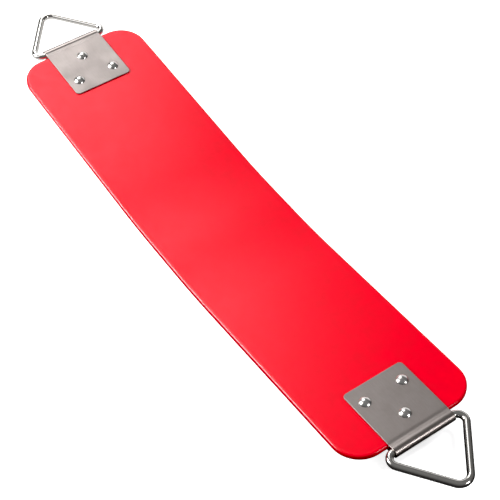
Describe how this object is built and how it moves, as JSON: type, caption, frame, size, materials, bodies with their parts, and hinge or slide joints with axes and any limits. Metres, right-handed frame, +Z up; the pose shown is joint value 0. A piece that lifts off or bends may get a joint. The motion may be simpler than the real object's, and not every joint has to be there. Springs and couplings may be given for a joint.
{
  "type": "belt swing seat",
  "caption": "Flexible red belt swing seat with a riveted folded steel clamp plate and a triangular chain ring at each end.",
  "frame": {"origin": "middle of the belt's underside, the lowest point, where the seat rests on a floor", "axes": "+X along the seat towards its right ring, +Y across the seat, +Z up out of the sitting side"},
  "size_m": [0.7154, 0.14, 0.0312],
  "materials": {
    "belt_rubber": "satin, fine grain",
    "plate_steel": "satin stainless sheet",
    "wire_steel": "polished steel wire",
    "rivet_steel": "polished domed steel"
  },
  "bodies": {
    "centre": {"belt_centre": "belt_rubber"},
    "left_1": {"belt_left_1": "belt_rubber"},
    "left_2": {"belt_left_2": "belt_rubber"},
    "left_3": {"belt_left_3": "belt_rubber"},
    "left_4": {"belt_left_4": "belt_rubber"},
    "left_5": {"belt_left_5": "belt_rubber"},
    "left_end": {"belt_left_end": "belt_rubber", "left_clamp_plate": "plate_steel", "left_rivet_front": "rivet_steel", "left_rivet_back": "rivet_steel", "left_rivet_tip": "rivet_steel"},
    "left_ring": {"left_ring": "wire_steel"},
    "right_1": {"belt_right_1": "belt_rubber"},
    "right_2": {"belt_right_2": "belt_rubber"},
    "right_3": {"belt_right_3": "belt_rubber"},
    "right_4": {"belt_right_4": "belt_rubber"},
    "right_5": {"belt_right_5": "belt_rubber"},
    "right_end": {"belt_right_end": "belt_rubber", "right_clamp_plate": "plate_steel", "right_rivet_front": "rivet_steel", "right_rivet_back": "rivet_steel", "right_rivet_tip": "rivet_steel"},
    "right_ring": {"right_ring": "wire_steel"}
  },
  "joints": [
    {"name": "left_bend", "type": "hinge", "parent": "centre", "child": "left_1", "pos_m": [-0.02, 0, 0.006], "axis": [0, 1, 0], "range_deg": [-0.85, 12], "stiffness_Nm_per_rad": 1.7},
    {"name": "left_bend_2", "type": "hinge", "parent": "left_1", "child": "left_2", "pos_m": [-0.04999, 0, 0.00668], "axis": [0, 1, 0], "range_deg": [-0.85, 12], "stiffness_Nm_per_rad": 1.7},
    {"name": "left_bend_3", "type": "hinge", "parent": "left_2", "child": "left_3", "pos_m": [-0.07992, 0, 0.00872], "axis": [0, 1, 0], "range_deg": [-0.85, 12], "stiffness_Nm_per_rad": 1.7},
    {"name": "left_bend_4", "type": "hinge", "parent": "left_3", "child": "left_4", "pos_m": [-0.10979, 0, 0.01144], "axis": [0, 1, 0], "range_deg": [-0.85, 12], "stiffness_Nm_per_rad": 1.7},
    {"name": "left_bend_5", "type": "hinge", "parent": "left_4", "child": "left_5", "pos_m": [-0.13967, 0, 0.01416], "axis": [0, 1, 0], "range_deg": [-0.85, 12], "stiffness_Nm_per_rad": 1.7},
    {"name": "left_bend_6", "type": "hinge", "parent": "left_5", "child": "left_end", "pos_m": [-0.16955, 0, 0.01688], "axis": [0, 1, 0], "range_deg": [-0.85, 12], "stiffness_Nm_per_rad": 1.7},
    {"name": "left_ring_swing", "type": "hinge", "parent": "left_end", "child": "left_ring", "pos_m": [-0.29819, 0, 0.02557], "axis": [0, 1, 0], "range_deg": [-122, 132]},
    {"name": "right_bend", "type": "hinge", "parent": "centre", "child": "right_1", "pos_m": [0.02, 0, 0.006], "axis": [0, -1, 0], "range_deg": [-0.85, 12], "stiffness_Nm_per_rad": 1.7},
    {"name": "right_bend_2", "type": "hinge", "parent": "right_1", "child": "right_2", "pos_m": [0.04999, 0, 0.00668], "axis": [0, -1, 0], "range_deg": [-0.85, 12], "stiffness_Nm_per_rad": 1.7},
    {"name": "right_bend_3", "type": "hinge", "parent": "right_2", "child": "right_3", "pos_m": [0.07992, 0, 0.00872], "axis": [0, -1, 0], "range_deg": [-0.85, 12], "stiffness_Nm_per_rad": 1.7},
    {"name": "right_bend_4", "type": "hinge", "parent": "right_3", "child": "right_4", "pos_m": [0.10979, 0, 0.01144], "axis": [0, -1, 0], "range_deg": [-0.85, 12], "stiffness_Nm_per_rad": 1.7},
    {"name": "right_bend_5", "type": "hinge", "parent": "right_4", "child": "right_5", "pos_m": [0.13967, 0, 0.01416], "axis": [0, -1, 0], "range_deg": [-0.85, 12], "stiffness_Nm_per_rad": 1.7},
    {"name": "right_bend_6", "type": "hinge", "parent": "right_5", "child": "right_end", "pos_m": [0.16955, 0, 0.01688], "axis": [0, -1, 0], "range_deg": [-0.85, 12], "stiffness_Nm_per_rad": 1.7},
    {"name": "right_ring_swing", "type": "hinge", "parent": "right_end", "child": "right_ring", "pos_m": [0.29819, 0, 0.02557], "axis": [0, -1, 0], "range_deg": [-122, 132]}
  ],
  "couplings": [
    {"joint": "left_bend_2", "follows": "left_bend", "ratio": 1},
    {"joint": "left_bend_3", "follows": "left_bend", "ratio": 1},
    {"joint": "left_bend_4", "follows": "left_bend", "ratio": 1},
    {"joint": "left_bend_5", "follows": "left_bend", "ratio": 1},
    {"joint": "left_bend_6", "follows": "left_bend", "ratio": 1},
    {"joint": "right_bend_2", "follows": "right_bend", "ratio": 1},
    {"joint": "right_bend_3", "follows": "right_bend", "ratio": 1},
    {"joint": "right_bend_4", "follows": "right_bend", "ratio": 1},
    {"joint": "right_bend_5", "follows": "right_bend", "ratio": 1},
    {"joint": "right_bend_6", "follows": "right_bend", "ratio": 1}
  ]
}
